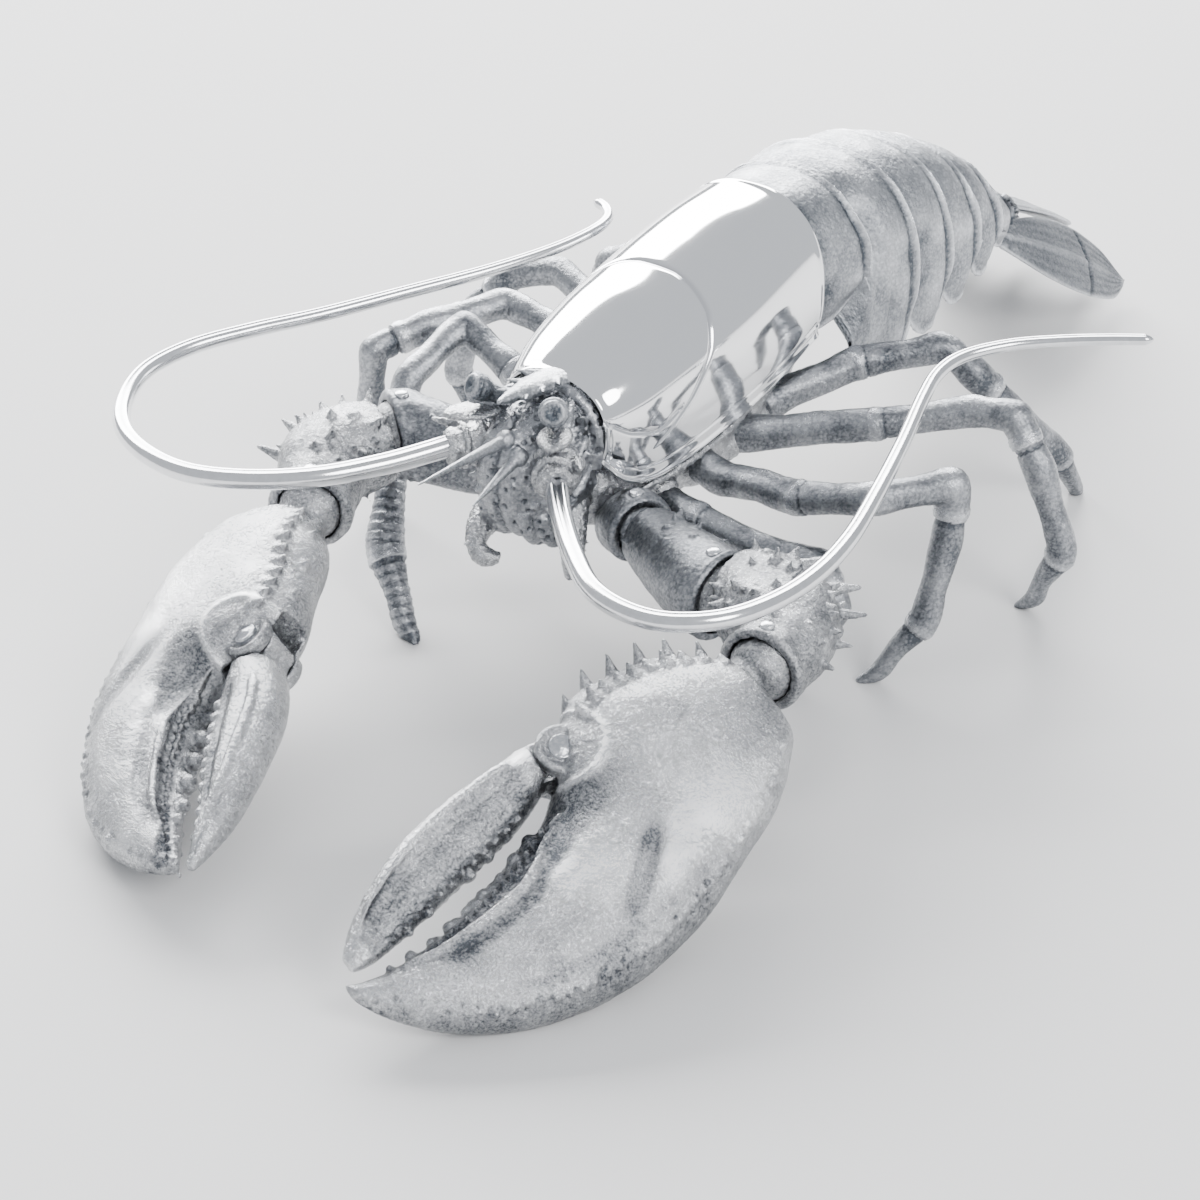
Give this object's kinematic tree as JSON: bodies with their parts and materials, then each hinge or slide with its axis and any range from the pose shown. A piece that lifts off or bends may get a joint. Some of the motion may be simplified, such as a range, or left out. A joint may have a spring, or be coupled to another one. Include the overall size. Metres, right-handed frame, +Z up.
{
  "type": "lobster cracker",
  "caption": "Life-size articulated silver lobster table piece with hinged toothed claws, jointed arms and a nested-ring tail",
  "frame": {"origin": "on the table, below the middle of the whole piece's outline", "axes": "+X towards the lobster's left, -Y the way the head faces, +Y towards the tail, +Z up; X = 0 is the trunk's plane of symmetry"},
  "size_m": [0.2388, 0.4721, 0.108],
  "materials": {
    "mirror_silver": "polished",
    "frosted_silver": "satin",
    "pin_silver": "gloss"
  },
  "bodies": {
    "trunk": {"antenna_left": "mirror_silver", "antenna_right": "mirror_silver", "antenna_socket_left": "frosted_silver", "antenna_socket_right": "frosted_silver", "antennal_scale_left": "frosted_silver", "antennal_scale_right": "frosted_silver", "antennule_left": "frosted_silver", "antennule_right": "frosted_silver", "carapace": "mirror_silver", "eye_left": "frosted_silver", "eye_right": "frosted_silver", "head": "frosted_silver", "leg_left_1": "frosted_silver", "leg_left_2": "frosted_silver", "leg_left_3": "frosted_silver", "leg_left_4": "frosted_silver", "leg_right_1": "frosted_silver", "leg_right_2": "frosted_silver", "leg_right_3": "frosted_silver", "leg_right_4": "frosted_silver", "maxilliped_left": "frosted_silver", "maxilliped_right": "frosted_silver", "rostrum": "frosted_silver", "shoulder_bracket_left": "frosted_silver", "shoulder_bracket_right": "frosted_silver", "shoulder_pin_left": "pin_silver", "shoulder_pin_right": "pin_silver", "tail_rivets_1": "pin_silver", "thorax": "frosted_silver"},
    "merus_body_left": {"merus_left": "frosted_silver", "elbow_pin_left": "pin_silver"},
    "carpus_body_left": {"carpus_left": "frosted_silver", "wrist_pin_left": "pin_silver"},
    "palm_body_left": {"palm_left": "frosted_silver", "dactyl_pin_left": "pin_silver"},
    "dactyl_body_left": {"dactyl_left": "frosted_silver"},
    "merus_body_right": {"merus_right": "frosted_silver", "elbow_pin_right": "pin_silver"},
    "carpus_body_right": {"carpus_right": "frosted_silver", "wrist_pin_right": "pin_silver"},
    "palm_body_right": {"palm_right": "frosted_silver", "dactyl_pin_right": "pin_silver"},
    "dactyl_body_right": {"dactyl_right": "frosted_silver"},
    "tail_body_1": {"tail_ring_1": "frosted_silver", "tail_rivets_2": "pin_silver"},
    "tail_body_2": {"tail_ring_2": "frosted_silver", "tail_rivets_3": "pin_silver"},
    "tail_body_3": {"tail_ring_3": "frosted_silver", "tail_rivets_4": "pin_silver"},
    "tail_body_4": {"tail_ring_4": "frosted_silver", "tail_rivets_5": "pin_silver"},
    "tail_body_5": {"tail_ring_5": "frosted_silver", "tail_rivets_6": "pin_silver"},
    "tail_body_6": {"tail_ring_6": "frosted_silver", "tail_rivets_7": "pin_silver"},
    "fan_body": {"telson": "frosted_silver", "uropod_inner_left": "frosted_silver", "uropod_inner_right": "frosted_silver", "uropod_outer_left": "frosted_silver", "uropod_outer_right": "frosted_silver"}
  },
  "joints": [
    {"name": "shoulder_left", "type": "hinge", "parent": "trunk", "child": "merus_body_left", "pos_m": [0.024, -0.0595, 0.046], "axis": [0, 0, 1], "range_deg": [-8, 8]},
    {"name": "elbow_left", "type": "hinge", "parent": "merus_body_left", "child": "carpus_body_left", "pos_m": [0.0615, -0.0775, 0.0465], "axis": [0, 0, 1], "range_deg": [-8, 8]},
    {"name": "wrist_left", "type": "hinge", "parent": "carpus_body_left", "child": "palm_body_left", "pos_m": [0.092, -0.0985, 0.046], "axis": [0, 0, 1], "range_deg": [-6, 8]},
    {"name": "jaw_left", "type": "hinge", "parent": "palm_body_left", "child": "dactyl_body_left", "pos_m": [0.06616, -0.15677, 0.03776], "axis": [-0.4298, 0.3086, -0.8485], "range_deg": [0, 26]},
    {"name": "shoulder_right", "type": "hinge", "parent": "trunk", "child": "merus_body_right", "pos_m": [-0.022, -0.0525, 0.0438], "axis": [0, 0, 1], "range_deg": [-4, 8]},
    {"name": "elbow_right", "type": "hinge", "parent": "merus_body_right", "child": "carpus_body_right", "pos_m": [-0.054, -0.0645, 0.0525], "axis": [0, 0, 1], "range_deg": [-8, 8]},
    {"name": "wrist_right", "type": "hinge", "parent": "carpus_body_right", "child": "palm_body_right", "pos_m": [-0.0555, -0.104, 0.047], "axis": [0, 0, 1], "range_deg": [-8, 8]},
    {"name": "jaw_right", "type": "hinge", "parent": "palm_body_right", "child": "dactyl_body_right", "pos_m": [-0.02997, -0.1569, 0.03395], "axis": [-0.3364, -0.3754, 0.8637], "range_deg": [0, 26]},
    {"name": "tail_1", "type": "hinge", "parent": "trunk", "child": "tail_body_1", "pos_m": [0, 0.0315, 0.078], "axis": [1, 0, 0], "range_deg": [-2.5, 2.5]},
    {"name": "tail_2", "type": "hinge", "parent": "tail_body_1", "child": "tail_body_2", "pos_m": [0, 0.0525, 0.076], "axis": [1, 0, 0], "range_deg": [-2.5, 2.5]},
    {"name": "tail_3", "type": "hinge", "parent": "tail_body_2", "child": "tail_body_3", "pos_m": [0, 0.074, 0.072], "axis": [1, 0, 0], "range_deg": [-2.5, 2.5]},
    {"name": "tail_4", "type": "hinge", "parent": "tail_body_3", "child": "tail_body_4", "pos_m": [0, 0.097, 0.066], "axis": [1, 0, 0], "range_deg": [-2.5, 2.5]},
    {"name": "tail_5", "type": "hinge", "parent": "tail_body_4", "child": "tail_body_5", "pos_m": [0, 0.117, 0.061], "axis": [1, 0, 0], "range_deg": [-2.5, 2.5]},
    {"name": "tail_6", "type": "hinge", "parent": "tail_body_5", "child": "tail_body_6", "pos_m": [0, 0.1355, 0.056], "axis": [1, 0, 0], "range_deg": [-2.5, 2.5]},
    {"name": "tail_7", "type": "hinge", "parent": "tail_body_6", "child": "fan_body", "pos_m": [0, 0.1565, 0.05], "axis": [1, 0, 0], "range_deg": [-2.5, 2.5]}
  ],
  "couplings": [
    {"joint": "tail_2", "follows": "tail_1", "ratio": 1},
    {"joint": "tail_3", "follows": "tail_1", "ratio": 1},
    {"joint": "tail_4", "follows": "tail_1", "ratio": 1},
    {"joint": "tail_5", "follows": "tail_1", "ratio": 1},
    {"joint": "tail_6", "follows": "tail_1", "ratio": 1},
    {"joint": "tail_7", "follows": "tail_1", "ratio": 1}
  ]
}
